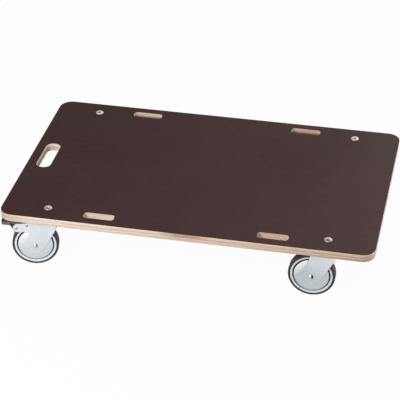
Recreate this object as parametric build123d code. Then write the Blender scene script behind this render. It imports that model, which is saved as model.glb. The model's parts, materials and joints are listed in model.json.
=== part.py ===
from build123d import *
import os
from math import cos, pi, radians, sin, tan

# Crate dolly: a film-faced plywood deck on four pressed-steel swivel casters.
# Millimetres. X runs along the deck with the hand hole at -X, Y across it, Z up from the floor.
# The origin is on the floor, under the middle of the deck.

# Deck board
DECK_LENGTH = 800.0
DECK_WIDTH = 500.0
DECK_THICKNESS = 18.0
FILM_THICKNESS = 0.3
DECK_CORNER_RADIUS = 28.0
EDGE_EASE = 0.8
OPENING_EASE = 1.0

# Hand hole near one end, and four strap slots along the sides
HAND_HOLE_LENGTH = 101.0
HAND_HOLE_WIDTH = 31.0
HAND_HOLE_RADIUS = 14.0
HAND_HOLE_FROM_END = 38.0
SLOT_LENGTH = 64.0
SLOT_WIDTH = 19.0
SLOT_RADIUS = 6.0
SLOT_FROM_END = 214.0
SLOT_FROM_SIDE = 30.0

# Where the casters are bolted, and which way each one trails when the dolly is put down
CASTER_FROM_END = 100.0
CASTER_FROM_SIDE = 40.0
REST_SWIVEL = {"front_left": 12.0, "front_right": 0.0, "back_left": 0.0, "back_right": 0.0}

# Low-head bolt, its spot-face in the deck, and the nut under the caster
BOLT_DIAMETER = 10.0
BOLT_HEAD_DIAMETER = 17.5
BOLT_HEAD_HEIGHT = 3.2
BOLT_HEAD_EDGE = 1.0
BOLT_HEAD_CROWN = 5.0
BOLT_SOCKET = 6.0
BOLT_SOCKET_DEPTH = 2.6
BOLT_END = 1.2
BOLT_HOLE_CLEARANCE = 0.3
SPOT_FACE_CLEARANCE = 0.3
SPOT_FACE_DEPTH = 0.8
NUT_ACROSS_FLATS = 16.0
NUT_HEIGHT = 8.0
NUT_CHAMFER_SLOPE = 30.0
NUT_COLLAR_HEIGHT = 1.8
NUT_COLLAR_RADIUS = 7.2
NUT_COLLAR_BEVEL = 0.8
THREAD_CLEARANCE = 0.05
HEXAGON_SIDES = 6

# Swivel head: the fork's crown turns between a ring of balls and a slide ring, on a sleeve
HEAD_PLATE_SHEET = 2.5
HEAD_SKIRT_WALL = 1.5
HEAD_SKIRT_GAP = 0.8
SKIRT_CLEARANCE = 0.3
BALL_DIAMETER = 4.8
BALL_COUNT = 12
BALL_CIRCLE_RADIUS = 15.6
BALL_CLEARANCE = 0.1
RACE_GAP = 4.2
GROOVE_SLOPE = 30.0
SLEEVE_WALL = 1.3
SLIDE_RING_RADIUS = 11.0
SLIDE_RING_THICKNESS = 2.0
SLIDE_RING_CLEARANCE = 0.3
SWIVEL_PLAY = 0.15
WASHER_RADIUS = 11.0
WASHER_THICKNESS = 2.0

# Wheel
WHEEL_DIAMETER = 100.0
WHEEL_WIDTH = 22.0
TYRE_DEPTH = 5.3
TYRE_SHOULDER = 3.4
TYRE_BOND = 0.05
RIM_INSET = 1.5
RIM_WALL = 4.2
RIM_LIP_ROUND = 1.2
RIM_WEB_THICKNESS = 6.0
RIM_RIBS = 8
RIM_RIB_THICKNESS = 2.0
RIM_RIB_RISE = 2.5
HUB_RADIUS = 11.0
HUB_END_PLAY = 0.3
HUB_BORE_CLEARANCE = 0.08

# Domed thread guard on each side of the wheel
GUARD_SHEET = 1.0
GUARD_GAP = 3.3
GUARD_BOSS_RADIUS = 13.0

# Axle with a domed rivet head over each leg
AXLE_DIAMETER = 12.0
AXLE_END_DIAMETER = 8.0
AXLE_HEAD_DIAMETER = 11.0
AXLE_HEAD_HEIGHT = 3.4
AXLE_HEAD_EDGE = 0.4
AXLE_FIT = 0.05

# Pressed fork
FORK_SHEET = 2.5
FORK_BEND = 3.0
FORK_SIDE_GAP = 2.2
CROWN_GAP = 9.3
CROWN_OVERHANG = 1.8
CROWN_RIM_DROP = 2.5
TRAIL = 31.0
NOSE_REACH = 17.0
NOSE_TAPER = 1.2
NOSE_START = 10.0
NOSE_CORNER_RADIUS = 7.0
APRON_HEIGHT = 20.0
KNEE_DROP = 23.3
FRONT_KNEE = 14.0
REAR_KNEE = 6.0
CROWN_BACK = 1.0
LEG_TIP_RADIUS = 20.0
CROWN_HOLE_CLEARANCE = 0.5

# Brake: pins are placed by their angle about the axle and their height off the tread
SHOE_PIN_ANGLE = 106.5
SHOE_PIN_OFF_TREAD = 4.2
SHOE_PIN_DIAMETER = 3.6
PEDAL_PIN_ANGLE = 130.2
PEDAL_PIN_OFF_TREAD = 9.6
PEDAL_PIN_DIAMETER = 4.8
PIN_HEAD_MARGIN = 1.3
PIN_HEAD_HEIGHT = 1.8
PIN_HEAD_EDGE = 0.4
PIN_FIT = 0.05
EAR_RADIUS = 10.0
EAR_SETBACK = 3.2
SHOE_OFF_TREAD = 2.0
SHOE_SHEET = 1.5
SHOE_EYE_WALL = 1.0
SHOE_LIP_RADIUS = 2.4
SHOE_END_ANGLE = 141.0
SHOE_SIDE_GAP = 2.5
CAM_RADIUS = 5.2
CAM_OFFSET = 3.5
CAM_ANGLE = 230.0
PEDAL_REACH = 99.5
PEDAL_SIDE_GAP = 0.6
PEDAL_TOP_GAP = 2.8
PEDAL_TIP_HEIGHT = 10.5
PEDAL_PAD_LENGTH = 18.5
PEDAL_PAD_DROP = 12.5
PEDAL_NOSE_AHEAD = 13.0
PEDAL_NOSE_DROP = 8.5
PEDAL_NOSE_RUN = 5.0
PEDAL_EDGE = 2.5
PEDAL_WALL = 2.2
GRIP_RIBS = 4
GRIP_RIB_WIDTH = 1.6
GRIP_RIB_HEIGHT = 0.7
GRIP_RIB_PITCH = 3.6

# Heights of the swivel head, from the wheel up to the deck
axle_height = WHEEL_DIAMETER / 2
crown_under = WHEEL_DIAMETER + CROWN_GAP
crown_top = crown_under + FORK_SHEET
ball_height = crown_top + RACE_GAP / 2
head_plate_under = crown_top + RACE_GAP
deck_under = head_plate_under + HEAD_PLATE_SHEET
deck_top = deck_under + DECK_THICKNESS
slide_ring_top = crown_under - SWIVEL_PLAY
washer_top = slide_ring_top - SLIDE_RING_THICKNESS
washer_under = washer_top - WASHER_THICKNESS
nut_under = washer_under - NUT_HEIGHT
bolt_end = nut_under - BOLT_END

# Radii that fit round the bolt
bolt_hole_radius = BOLT_DIAMETER / 2 + BOLT_HOLE_CLEARANCE
spot_face_radius = BOLT_HEAD_DIAMETER / 2 + SPOT_FACE_CLEARANCE
sleeve_radius = bolt_hole_radius + SLEEVE_WALL
slide_ring_bore = sleeve_radius + SLIDE_RING_CLEARANCE
crown_hole = sleeve_radius + CROWN_HOLE_CLEARANCE
ball_radius = BALL_DIAMETER / 2
skirt_inner = BALL_CIRCLE_RADIUS + ball_radius + SKIRT_CLEARANCE
head_plate_radius = skirt_inner + HEAD_SKIRT_WALL
crown_radius = head_plate_radius + CROWN_OVERHANG
groove_depth = (ball_radius + BALL_CLEARANCE) / cos(radians(GROOVE_SLOPE)) - RACE_GAP / 2
groove_half_width = groove_depth / tan(radians(GROOVE_SLOPE))

# Widths across the wheel, from its middle plane out to the fork's outer face
leg_inner = WHEEL_WIDTH / 2 + FORK_SIDE_GAP
leg_outer = leg_inner + FORK_SHEET
axle_shoulder = leg_inner - GUARD_SHEET
hub_end = axle_shoulder - HUB_END_PLAY
rim_face = WHEEL_WIDTH / 2 - RIM_INSET
rim_radius = WHEEL_DIAMETER / 2 - TYRE_DEPTH
guard_radius = rim_radius - RIM_WALL - GUARD_GAP

CORNERS = {"front_left": (-1, -1), "front_right": (1, -1), "back_left": (-1, 1), "back_right": (1, 1)}
BRAKED = ("front_left", "back_left")


def turned(*profile):
    """Solid of revolution about Z from a closed profile of (radius, height) points."""
    return revolve(Plane.XZ * make_face(Polyline(*profile, close=True)), Axis.Z)


def turned_ring(outer, inner, low, high):
    """Plain ring about Z."""
    return turned((inner, low), (outer, low), (outer, high), (inner, high))


def on_axle(solid):
    """Turn a solid made about Z so that it lies on the wheel's axle."""
    return Pos(-TRAIL, 0, axle_height) * Rot(90, 0, 0) * solid


def about_axle(radius, angle):
    """Point (x, z) at a radius and an angle from straight ahead, round the axle."""
    return (-TRAIL + radius * cos(radians(angle)), axle_height + radius * sin(radians(angle)))


def side_cut(sketch, half_width):
    """Plate with the side view's outline, centred on the wheel's middle plane."""
    return extrude(Plane.XZ * sketch, half_width, both=True)


def cross_pin_hole(centre, radius, half_width):
    """Round bar across the caster at a point (x, z)."""
    return side_cut(Pos(*centre) * Circle(radius), half_width)


def caster_places():
    """Bolt positions (x, y) of the casters, by name."""
    reach_x = DECK_LENGTH / 2 - CASTER_FROM_END
    reach_y = DECK_WIDTH / 2 - CASTER_FROM_SIDE
    return {name: (side_x * reach_x, side_y * reach_y) for name, (side_x, side_y) in CORNERS.items()}


def at_every_caster(*solids):
    """One copy of each solid at every bolt position."""
    places = caster_places().values()
    return Compound(children=[Pos(x, y, 0) * solid for x, y in places for solid in solids])


def deck_outline(edge_ease, opening_ease):
    """Deck seen from above, with its outline drawn in and its openings grown by their eases."""
    outline = RectangleRounded(
        DECK_LENGTH - 2 * edge_ease, DECK_WIDTH - 2 * edge_ease, DECK_CORNER_RADIUS - edge_ease
    )
    grown = 2 * opening_ease
    hand_hole = RectangleRounded(
        HAND_HOLE_WIDTH + grown, HAND_HOLE_LENGTH + grown, HAND_HOLE_RADIUS + opening_ease
    )
    outline -= Pos(HAND_HOLE_FROM_END - DECK_LENGTH / 2, 0) * hand_hole
    slot = RectangleRounded(SLOT_LENGTH + grown, SLOT_WIDTH + grown, SLOT_RADIUS + opening_ease)
    for side_x, side_y in CORNERS.values():
        x = side_x * (DECK_LENGTH / 2 - SLOT_FROM_END)
        y = side_y * (DECK_WIDTH / 2 - SLOT_FROM_SIDE)
        outline -= Pos(x, y) * slot
    return outline


def bolt_bores(radius, low, high):
    """Cutters for the four bolts, from one height to another."""
    bore = Pos(0, 0, low) * extrude(Circle(radius), high - low)
    return [Pos(x, y, 0) * bore for x, y in caster_places().values()]


def rims(board, inside):
    """Edges round the openings, or round the outside, on both faces of the board."""
    faces = board.faces().sort_by(Axis.Z)
    wires = []
    for face in (faces[0], faces[-1]):
        wires += face.inner_wires() if inside else [face.outer_wire()]
    return [edge for wire in wires for edge in wire.edges()]


def deck_board():
    """Plywood core with rounded edges, bolt holes and spot-faces for the bolt heads."""
    low = deck_under + FILM_THICKNESS
    high = deck_top - FILM_THICKNESS
    board = Pos(0, 0, low) * extrude(deck_outline(0, 0), high - low)
    board = fillet(rims(board, True), OPENING_EASE)
    board = fillet(rims(board, False), EDGE_EASE)
    board -= bolt_bores(bolt_hole_radius, low, high)
    return board - bolt_bores(spot_face_radius, deck_top - SPOT_FACE_DEPTH, high)


def film(low, bore_radius):
    """Phenolic film bonded to one face of the board, up to where its edges round over."""
    skin = Pos(0, 0, low) * extrude(deck_outline(EDGE_EASE, OPENING_EASE), FILM_THICKNESS)
    return skin - bolt_bores(bore_radius, low, low + FILM_THICKNESS)


def deck_bolt():
    """Low-head bolt with a domed edge and a hexagon socket, head on the spot-face."""
    seat = deck_top - SPOT_FACE_DEPTH
    top = seat + BOLT_HEAD_HEIGHT
    shank = BOLT_DIAMETER / 2
    head_radius = BOLT_HEAD_DIAMETER / 2
    head_edge = (head_radius, seat + BOLT_HEAD_EDGE)
    crown_edge = (BOLT_HEAD_CROWN, top)
    outline = Polyline(
        crown_edge, (0, top), (0, bolt_end), (shank, bolt_end), (shank, seat), (head_radius, seat), head_edge
    )
    outline += TangentArc(crown_edge, head_edge, tangent=(1, 0))
    bolt = revolve(Plane.XZ * make_face(outline), Axis.Z)
    hexagon = RegularPolygon(BOLT_SOCKET / 2, HEXAGON_SIDES, major_radius=False)
    return bolt - Pos(0, 0, top - BOLT_SOCKET_DEPTH) * extrude(hexagon, BOLT_SOCKET_DEPTH)


def lock_nut():
    """Hexagon lock nut: corners chamfered at both ends, and a round collar for its insert below."""
    bore = BOLT_DIAMETER / 2 + THREAD_CLEARANCE
    flat = NUT_ACROSS_FLATS / 2
    corner = flat / cos(pi / HEXAGON_SIDES)
    chamfer_fall = (corner - flat) * tan(radians(NUT_CHAMFER_SLOPE))
    hexagon_under = nut_under + NUT_COLLAR_HEIGHT
    hexagon = RegularPolygon(flat, HEXAGON_SIDES, major_radius=False)
    blank = Pos(0, 0, nut_under) * extrude(hexagon, NUT_HEIGHT)
    return blank & turned(
        (bore, nut_under),
        (NUT_COLLAR_RADIUS - NUT_COLLAR_BEVEL, nut_under),
        (NUT_COLLAR_RADIUS, nut_under + NUT_COLLAR_BEVEL),
        (NUT_COLLAR_RADIUS, hexagon_under),
        (flat, hexagon_under),
        (corner, hexagon_under + chamfer_fall),
        (corner, washer_under - chamfer_fall),
        (flat, washer_under),
        (bore, washer_under),
    )


def head_plate():
    """Cupped plate under the deck: a grooved race, with a skirt turned down round the balls."""
    skirt_low = crown_top + HEAD_SKIRT_GAP
    return turned(
        (bolt_hole_radius, head_plate_under),
        (BALL_CIRCLE_RADIUS - groove_half_width, head_plate_under),
        (BALL_CIRCLE_RADIUS, head_plate_under + groove_depth),
        (BALL_CIRCLE_RADIUS + groove_half_width, head_plate_under),
        (skirt_inner, head_plate_under),
        (skirt_inner, skirt_low),
        (head_plate_radius, skirt_low),
        (head_plate_radius, deck_under),
        (bolt_hole_radius, deck_under),
    )


def swivel_balls():
    """Ring of balls that carries the load between the head plate and the crown."""
    ring = PolarLocations(BALL_CIRCLE_RADIUS, BALL_COUNT)
    return [Pos(0, 0, ball_height) * place * Sphere(ball_radius) for place in ring]


def fork_plan(inset, back):
    """Fork seen from above: parallel legs that draw in a little to a blunt nose."""
    half = leg_outer - inset
    corner_x = NOSE_REACH - NOSE_CORNER_RADIUS
    corner_y = leg_outer - NOSE_TAPER - NOSE_CORNER_RADIUS
    corner = Circle(NOSE_CORNER_RADIUS - inset)
    legs = Polyline((-NOSE_START, -half), (back, -half), (back, half), (-NOSE_START, half))
    nose = (Pos(corner_x, corner_y) * corner).edges() + (Pos(corner_x, -corner_y) * corner).edges()
    return make_hull(nose + legs.edges())


def fork_side(braked):
    """Fork seen from the side: crown, legs that taper to the axle, and the brake's ears."""
    knee = crown_top - KNEE_DROP
    rear = (-TRAIL - REAR_KNEE, knee)
    front = (FRONT_KNEE, knee)
    tip = Pos(-TRAIL, axle_height) * Circle(LEG_TIP_RADIUS)
    leg = make_hull(tip.edges() + Line(rear, front).edges())
    ahead = NOSE_REACH + FORK_SHEET
    apron = crown_top - APRON_HEIGHT
    crown_back = (-TRAIL - CROWN_BACK, crown_top)
    crown = make_face(
        Polyline(rear, front, (ahead, apron), (ahead, crown_top), crown_back, close=True)
    )
    outline = leg + crown
    if braked:
        pin_x, pin_z = pedal_pin()
        end = Pos(pin_x + EAR_SETBACK, pin_z) * Circle(EAR_RADIUS)
        root = Line((crown_back[0], pin_z - EAR_RADIUS), (crown_back[0], crown_under))
        outline += make_hull(end.edges() + root.edges())
    return outline


def crown_dish():
    """Round dish at the top of the fork, with its rim turned down."""
    rim_under = crown_under - CROWN_RIM_DROP
    dish = turned(
        (crown_hole, crown_top),
        (crown_radius, crown_top),
        (crown_radius, rim_under),
        (crown_radius - FORK_SHEET, rim_under),
        (crown_radius - FORK_SHEET, crown_under),
        (crown_hole, crown_under),
    )
    top_rims = dish.edges().filter_by(GeomType.CIRCLE).group_by(Axis.Z)[-1]
    return fillet(top_rims.sort_by(SortBy.RADIUS)[-1], FORK_BEND)


def fork(braked):
    """Pressed fork: a bent shell cut to the side outline, with the dish and its holes."""
    back = pedal_pin()[0] - 2 * EAR_RADIUS
    shell = extrude(fork_plan(0, back), crown_top)
    shell = fillet(shell.faces().sort_by(Axis.Z)[-1].edges(), FORK_BEND)
    shell -= extrude(fork_plan(FORK_SHEET, back - EAR_RADIUS), crown_under)
    blank = (shell & side_cut(fork_side(braked), leg_outer)) + crown_dish()
    blank -= extrude(Circle(crown_hole), crown_top)
    blank -= turned(
        (BALL_CIRCLE_RADIUS - groove_half_width, crown_top),
        (BALL_CIRCLE_RADIUS, crown_top - groove_depth),
        (BALL_CIRCLE_RADIUS + groove_half_width, crown_top),
    )
    blank -= cross_pin_hole((-TRAIL, axle_height), AXLE_END_DIAMETER / 2 + AXLE_FIT, leg_outer)
    if braked:
        for centre, diameter in brake_pin_places():
            blank -= cross_pin_hole(centre, diameter / 2 + PIN_FIT, leg_outer)
    return blank


def thread_guards():
    """Two domed discs clamped between the axle's shoulders and the legs, flush with the rim at their edge."""
    bore = AXLE_END_DIAMETER / 2 + AXLE_FIT
    boss = (GUARD_BOSS_RADIUS, leg_inner)
    boss_under = (GUARD_BOSS_RADIUS, axle_shoulder)
    edge = (guard_radius, rim_face)
    edge_under = (guard_radius, rim_face - GUARD_SHEET)
    outline = Polyline(boss, (bore, leg_inner), (bore, axle_shoulder), boss_under)
    outline += TangentArc(boss, edge, tangent=(1, 0))
    outline += Line(edge, edge_under)
    outline += TangentArc(boss_under, edge_under, tangent=(1, 0))
    guard = revolve(Plane.XZ * make_face(outline), Axis.Z)
    return Compound(children=[on_axle(guard), on_axle(Rot(180, 0, 0) * guard)])


def riveted_bar(steps, shank, head, head_edge, head_height):
    """Bar about Z, alike at both ends: its steps, a shank through each leg and a domed head over it."""
    half = [*steps, (shank, leg_outer), (head, leg_outer), (head, leg_outer + head_edge)]
    mirrored = [(radius, -height) for radius, height in reversed(half)]
    top = (0, leg_outer + head_height)
    bottom = (0, -leg_outer - head_height)
    outline = Polyline(*mirrored, *half) + Line(top, bottom)
    outline += TangentArc(top, half[-1], tangent=(1, 0))
    outline += TangentArc(bottom, mirrored[0], tangent=(1, 0))
    return revolve(Plane.XZ * make_face(outline), Axis.Z)


def axle():
    """Shouldered axle: each end goes through a guard and a leg, and is riveted over in a dome."""
    shank = AXLE_END_DIAMETER / 2
    steps = [(AXLE_DIAMETER / 2, axle_shoulder), (shank, axle_shoulder)]
    return on_axle(riveted_bar(steps, shank, AXLE_HEAD_DIAMETER / 2, AXLE_HEAD_EDGE, AXLE_HEAD_HEIGHT))


def rim():
    """Moulded rim: outer ring with rounded lips, web stiffened by ribs, and a hub that runs on the axle."""
    ring_inner = rim_radius - RIM_WALL
    web_half = RIM_WEB_THICKNESS / 2
    bore = AXLE_DIAMETER / 2 + HUB_BORE_CLEARANCE
    half = [
        (rim_radius, rim_face),
        (ring_inner, rim_face),
        (ring_inner, web_half),
        (HUB_RADIUS, web_half),
        (HUB_RADIUS, hub_end),
        (bore, hub_end),
    ]
    mirrored = [(radius, -height) for radius, height in reversed(half)]
    wheel = turned(*mirrored, *half)
    circles = wheel.edges().filter_by(GeomType.CIRCLE).group_by(Axis.Z)
    lips = [circles[level].sort_by(SortBy.RADIUS)[0] for level in (1, -2)]
    wheel = fillet(lips, RIM_LIP_ROUND)
    rib_middle = (HUB_RADIUS + ring_inner) / 2
    rib_length = ring_inner - HUB_RADIUS + RIM_WALL
    rib = Box(rib_length, RIM_RIB_THICKNESS, RIM_WEB_THICKNESS + 2 * RIM_RIB_RISE)
    wheel += [place * rib for place in PolarLocations(rib_middle, RIM_RIBS)]
    return on_axle(wheel)


def tyre():
    """Soft tyre bonded round the rim: rounded shoulders, and sides that fall in to the rim's face."""
    tread = WHEEL_DIAMETER / 2
    inner = rim_radius + TYRE_BOND
    shoulder_side = (tread - TYRE_SHOULDER, WHEEL_WIDTH / 2)
    shoulder_tread = (tread, WHEEL_WIDTH / 2 - TYRE_SHOULDER)
    far_side = (shoulder_side[0], -shoulder_side[1])
    far_tread = (tread, -shoulder_tread[1])
    outline = Polyline(shoulder_side, (inner, rim_face), (inner, -rim_face), far_side)
    outline += TangentArc(far_side, far_tread, tangent=(1, 0))
    outline += Line(far_tread, shoulder_tread)
    outline += TangentArc(shoulder_side, shoulder_tread, tangent=(1, 0))
    return on_axle(revolve(Plane.XZ * make_face(outline), Axis.Z))


def shoe_pin():
    """Pivot (x, z) of the brake shoe."""
    return about_axle(WHEEL_DIAMETER / 2 + SHOE_PIN_OFF_TREAD, SHOE_PIN_ANGLE)


def pedal_pin():
    """Pivot (x, z) of the brake pedal."""
    return about_axle(WHEEL_DIAMETER / 2 + PEDAL_PIN_OFF_TREAD, PEDAL_PIN_ANGLE)


def brake_pin_places():
    """Centre and diameter of each pin across the fork's ears."""
    return [(shoe_pin(), SHOE_PIN_DIAMETER), (pedal_pin(), PEDAL_PIN_DIAMETER)]


def brake_pins():
    """Two pins riveted across the ears, with domed heads."""
    pins = []
    for (x, z), diameter in brake_pin_places():
        shank = diameter / 2
        pin = riveted_bar([], shank, shank + PIN_HEAD_MARGIN, PIN_HEAD_EDGE, PIN_HEAD_HEIGHT)
        pins.append(Pos(x, 0, z) * Rot(90, 0, 0) * pin)
    return Compound(children=pins)


def brake_shoe():
    """Spring-steel shoe that follows the tread, with an eye rolled round its pin and a rolled lip."""
    tread = WHEEL_DIAMETER / 2 + SHOE_OFF_TREAD
    pin_x, pin_z = shoe_pin()
    bore = SHOE_PIN_DIAMETER / 2 + PIN_FIT
    blade = Circle(tread + SHOE_SHEET) - Circle(tread)
    reach = 2 * tread
    sector = make_face(
        Polyline(
            (0, 0),
            (reach * cos(radians(SHOE_PIN_ANGLE)), reach * sin(radians(SHOE_PIN_ANGLE))),
            (reach * cos(radians(SHOE_END_ANGLE)), reach * sin(radians(SHOE_END_ANGLE))),
            close=True,
        )
    )
    blade = Pos(-TRAIL, axle_height) * (blade & sector)
    eye = Pos(pin_x, pin_z) * Circle(bore + SHOE_EYE_WALL)
    lip = Pos(*about_axle(tread + SHOE_LIP_RADIUS, SHOE_END_ANGLE)) * Circle(SHOE_LIP_RADIUS)
    profile = blade + lip + eye - Pos(pin_x, pin_z) * Circle(bore)
    return side_cut(profile, leg_inner - SHOE_SIDE_GAP)


def brake_pedal():
    """Moulded pedal: a body with a cam between the ears, and a wider ribbed pad behind them."""
    pin_x, pin_z = pedal_pin()
    top = deck_under - PEDAL_TOP_GAP
    cam_x = pin_x + CAM_OFFSET * cos(radians(CAM_ANGLE))
    cam_z = pin_z + CAM_OFFSET * sin(radians(CAM_ANGLE))
    pad_front = -PEDAL_REACH + PEDAL_PAD_LENGTH
    pad_under = top - PEDAL_PAD_DROP
    cam = Pos(cam_x, cam_z) * Circle(CAM_RADIUS)
    nose_x = pin_x + PEDAL_NOSE_AHEAD
    nose = Line((nose_x, top - PEDAL_NOSE_DROP), (nose_x - PEDAL_NOSE_RUN, top))
    heel = Line((pad_front - PEDAL_EDGE, top), (pad_front - PEDAL_EDGE, pad_under))
    body = make_hull(cam.edges() + nose.edges() + heel.edges())
    body -= Pos(pin_x, pin_z) * Circle(PEDAL_PIN_DIAMETER / 2 + PIN_FIT)
    tip_low = top - PEDAL_TIP_HEIGHT
    pad = make_face(
        Polyline(
            (pad_front, top), (-PEDAL_REACH, top), (-PEDAL_REACH, tip_low), (pad_front, pad_under), close=True
        )
    )
    pad = fillet(pad.vertices().group_by(Axis.X)[0], PEDAL_EDGE)
    pad_half = leg_outer
    body_half = leg_inner - PEDAL_SIDE_GAP
    pocket = make_face(
        Polyline(
            (pad_front - PEDAL_WALL, top - PEDAL_WALL),
            (-PEDAL_REACH + PEDAL_WALL, top - PEDAL_WALL),
            (-PEDAL_REACH + PEDAL_WALL, pad_under - PEDAL_WALL),
            (pad_front - PEDAL_WALL, pad_under - PEDAL_WALL),
            close=True,
        )
    )
    pedal = side_cut(body, body_half) + side_cut(pad, pad_half)
    pedal -= side_cut(pocket, pad_half - PEDAL_WALL)
    rib = Box(GRIP_RIB_WIDTH, 2 * (pad_half - PEDAL_EDGE), 2 * GRIP_RIB_HEIGHT)
    for index in range(GRIP_RIBS):
        pedal += Pos(-PEDAL_REACH + GRIP_RIB_PITCH * (index + 1), 0, top) * rib
    return pedal


def deck_pieces():
    """Everything that stays with the deck, by name."""
    return {
        "deck_board": deck_board(),
        "top_film": film(deck_top - FILM_THICKNESS, spot_face_radius),
        "bottom_film": film(deck_under, bolt_hole_radius),
        "deck_bolts": at_every_caster(deck_bolt()),
        "lock_nuts": at_every_caster(lock_nut()),
        "head_plates": at_every_caster(head_plate()),
        "king_sleeves": at_every_caster(
            turned_ring(sleeve_radius, bolt_hole_radius, washer_top, head_plate_under)
        ),
        "swivel_balls": at_every_caster(*swivel_balls()),
        "slide_rings": at_every_caster(
            turned_ring(SLIDE_RING_RADIUS, slide_ring_bore, washer_top, slide_ring_top)
        ),
        "retaining_washers": at_every_caster(
            turned_ring(WASHER_RADIUS, bolt_hole_radius, washer_under, washer_top)
        ),
    }


def caster_pieces(braked):
    """The swivelling pieces of one caster, about its own bolt, by name."""
    pieces = {
        "fork": fork(braked),
        "thread_guards": thread_guards(),
        "axle": axle(),
        "rim": rim(),
        "tyre": tyre(),
    }
    if braked:
        pieces["brake_pins"] = brake_pins()
        pieces["brake_shoe"] = brake_shoe()
        pieces["brake_pedal"] = brake_pedal()
    return pieces


os.makedirs("parts", exist_ok=True)

for node, solid in deck_pieces().items():
    export_step(solid, f"parts/{node}.step")

plain_caster = caster_pieces(False)
braked_caster = caster_pieces(True)
for name, (x, y) in caster_places().items():
    caster = braked_caster if name in BRAKED else plain_caster
    place = Pos(x, y, 0) * Rot(0, 0, REST_SWIVEL[name])
    for node, solid in caster.items():
        export_step(place * solid, f"parts/{name}_{node}.step")
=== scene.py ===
import json
import math

import bpy
import numpy as np
from mathutils import Matrix, Vector


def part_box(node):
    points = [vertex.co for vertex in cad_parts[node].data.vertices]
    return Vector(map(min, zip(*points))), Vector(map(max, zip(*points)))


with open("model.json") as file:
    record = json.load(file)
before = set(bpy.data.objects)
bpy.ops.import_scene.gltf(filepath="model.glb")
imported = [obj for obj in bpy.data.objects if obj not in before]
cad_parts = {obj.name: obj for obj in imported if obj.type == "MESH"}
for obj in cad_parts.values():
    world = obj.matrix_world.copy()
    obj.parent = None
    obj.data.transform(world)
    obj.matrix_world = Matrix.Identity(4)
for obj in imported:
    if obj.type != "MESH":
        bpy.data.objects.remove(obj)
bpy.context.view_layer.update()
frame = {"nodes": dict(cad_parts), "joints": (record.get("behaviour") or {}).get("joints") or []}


# Plywood board: thin birch veneers glued with their grain crosswise and sawn to shape.
# The edges and the walls of the openings are eased, sanded and left raw, so every ply shows.
# The wood browns towards the +X end, and a dark streak crosses the upper plies of its long edges.
board_low, board_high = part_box("deck_board")
board_foot = board_low[2]
board_top = board_high[2]
NOISE_LOW = 0.3
NOISE_MIDDLE = 0.5
NOISE_HIGH = 0.7
SOFT_DETAIL = 3.0
SOFT_ROUGHNESS = 0.55


def add(tree, kind, inputs=None, **settings):
    """One shader node: settings are its own properties, inputs are values or sockets by name or number."""
    node = tree.nodes.new(f"ShaderNode{kind}")
    for key, setting in settings.items():
        setattr(node, key, setting)
    for key, source in (inputs or {}).items():
        if isinstance(source, bpy.types.NodeSocket):
            tree.links.new(source, node.inputs[key])
        else:
            node.inputs[key].default_value = source
    return node


def calc(tree, operation, *terms):
    """Result of one sum on numbers or sockets."""
    return add(tree, "Math", dict(enumerate(terms)), operation=operation).outputs[0]


def product(tree, first, *others):
    """Several numbers or sockets multiplied together."""
    result = first
    for term in others:
        result = calc(tree, "MULTIPLY", result, term)
    return result


def spread(tree, source, low, high, to_low=0.0, to_high=1.0):
    """A value's range from low to high stretched to another range, and held inside it."""
    limits = {"Value": source, "From Min": low, "From Max": high, "To Min": to_low, "To Max": to_high}
    return add(tree, "MapRange", limits).outputs["Result"]


def level(tree, share, first, second):
    """Number that goes from the first to the second as the share goes from 0 to 1."""
    return spread(tree, share, 0.0, 1.0, first, second)


def tint(tree, share, first, second):
    """Colour that goes from the first to the second as the share goes from 0 to 1."""
    return add(tree, "Mix", {0: share, 6: first, 7: second}, data_type="RGBA").outputs[2]


def between(tree, source, low, high):
    """1 where a value lies between two limits, and 0 elsewhere."""
    return product(tree, calc(tree, "GREATER_THAN", source, low), calc(tree, "LESS_THAN", source, high))


def beyond(tree, source, reach):
    """1 where a value is further from 0 than a reach, on either side."""
    return calc(tree, "GREATER_THAN", calc(tree, "ABSOLUTE", source), reach)


def noise(tree, vector, scale, detail, roughness):
    """Soft random value over the surface."""
    settings = {"Vector": vector, "Scale": scale, "Detail": detail, "Roughness": roughness}
    return add(tree, "TexNoise", settings).outputs[0]


def streaky(tree, place, per_metre, detail=SOFT_DETAIL):
    """Soft random value with its own count of waves per metre along each axis."""
    spaced = add(tree, "Mapping", {"Vector": place, "Scale": per_metre}).outputs[0]
    return noise(tree, spaced, 1.0, detail, SOFT_ROUGHNESS)


def own_place(tree):
    """Coordinates of the piece itself, in metres."""
    return add(tree, "TexCoord").outputs["Object"]


def axes_of(tree, vector):
    """X, Y and Z of a place."""
    return add(tree, "SeparateXYZ", {0: vector}).outputs


def finish(name, **surface):
    """New material with one Principled surface; the plain sockets are set here and now."""
    material = bpy.data.materials.new(name)
    material.use_nodes = True
    shader = material.node_tree.nodes["Principled BSDF"]
    for key, setting in surface.items():
        shader.inputs[key.replace("_", " ")].default_value = setting
    return material, material.node_tree, shader


def feed(tree, shader, **sources):
    """Wire sockets into the Principled surface."""
    for key, source in sources.items():
        tree.links.new(source, shader.inputs[key.replace("_", " ")])


def bump(tree, height, strength, distance, normal=None):
    """Surface normal tilted by a height."""
    inputs = {"Height": height, "Strength": strength, "Distance": distance}
    if normal is not None:
        inputs["Normal"] = normal
    return add(tree, "Bump", inputs).outputs[0]


def dress(material, *nodes):
    """Give solid pieces of the frame their finish."""
    for node in nodes:
        for slot in frame["nodes"][node].material_slots:
            slot.material = material


PALE_END_WOOD = (0.92, 0.79, 0.635, 1)
BROWN_END_WOOD = (0.86, 0.635, 0.475, 1)
# Dark end-grain brown: the colour of the ply marks, and also of the painted shade at the -X corners, in the
# hand hole and low in the back slots.
GRAIN_AND_SHADE_BROWN = (0.42, 0.285, 0.185, 1)
TONE_BANDS = (10.0, 10.0, 320.0)
PALE_ENDS = 0.2
BROWN_STARTS = 0.75


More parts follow.
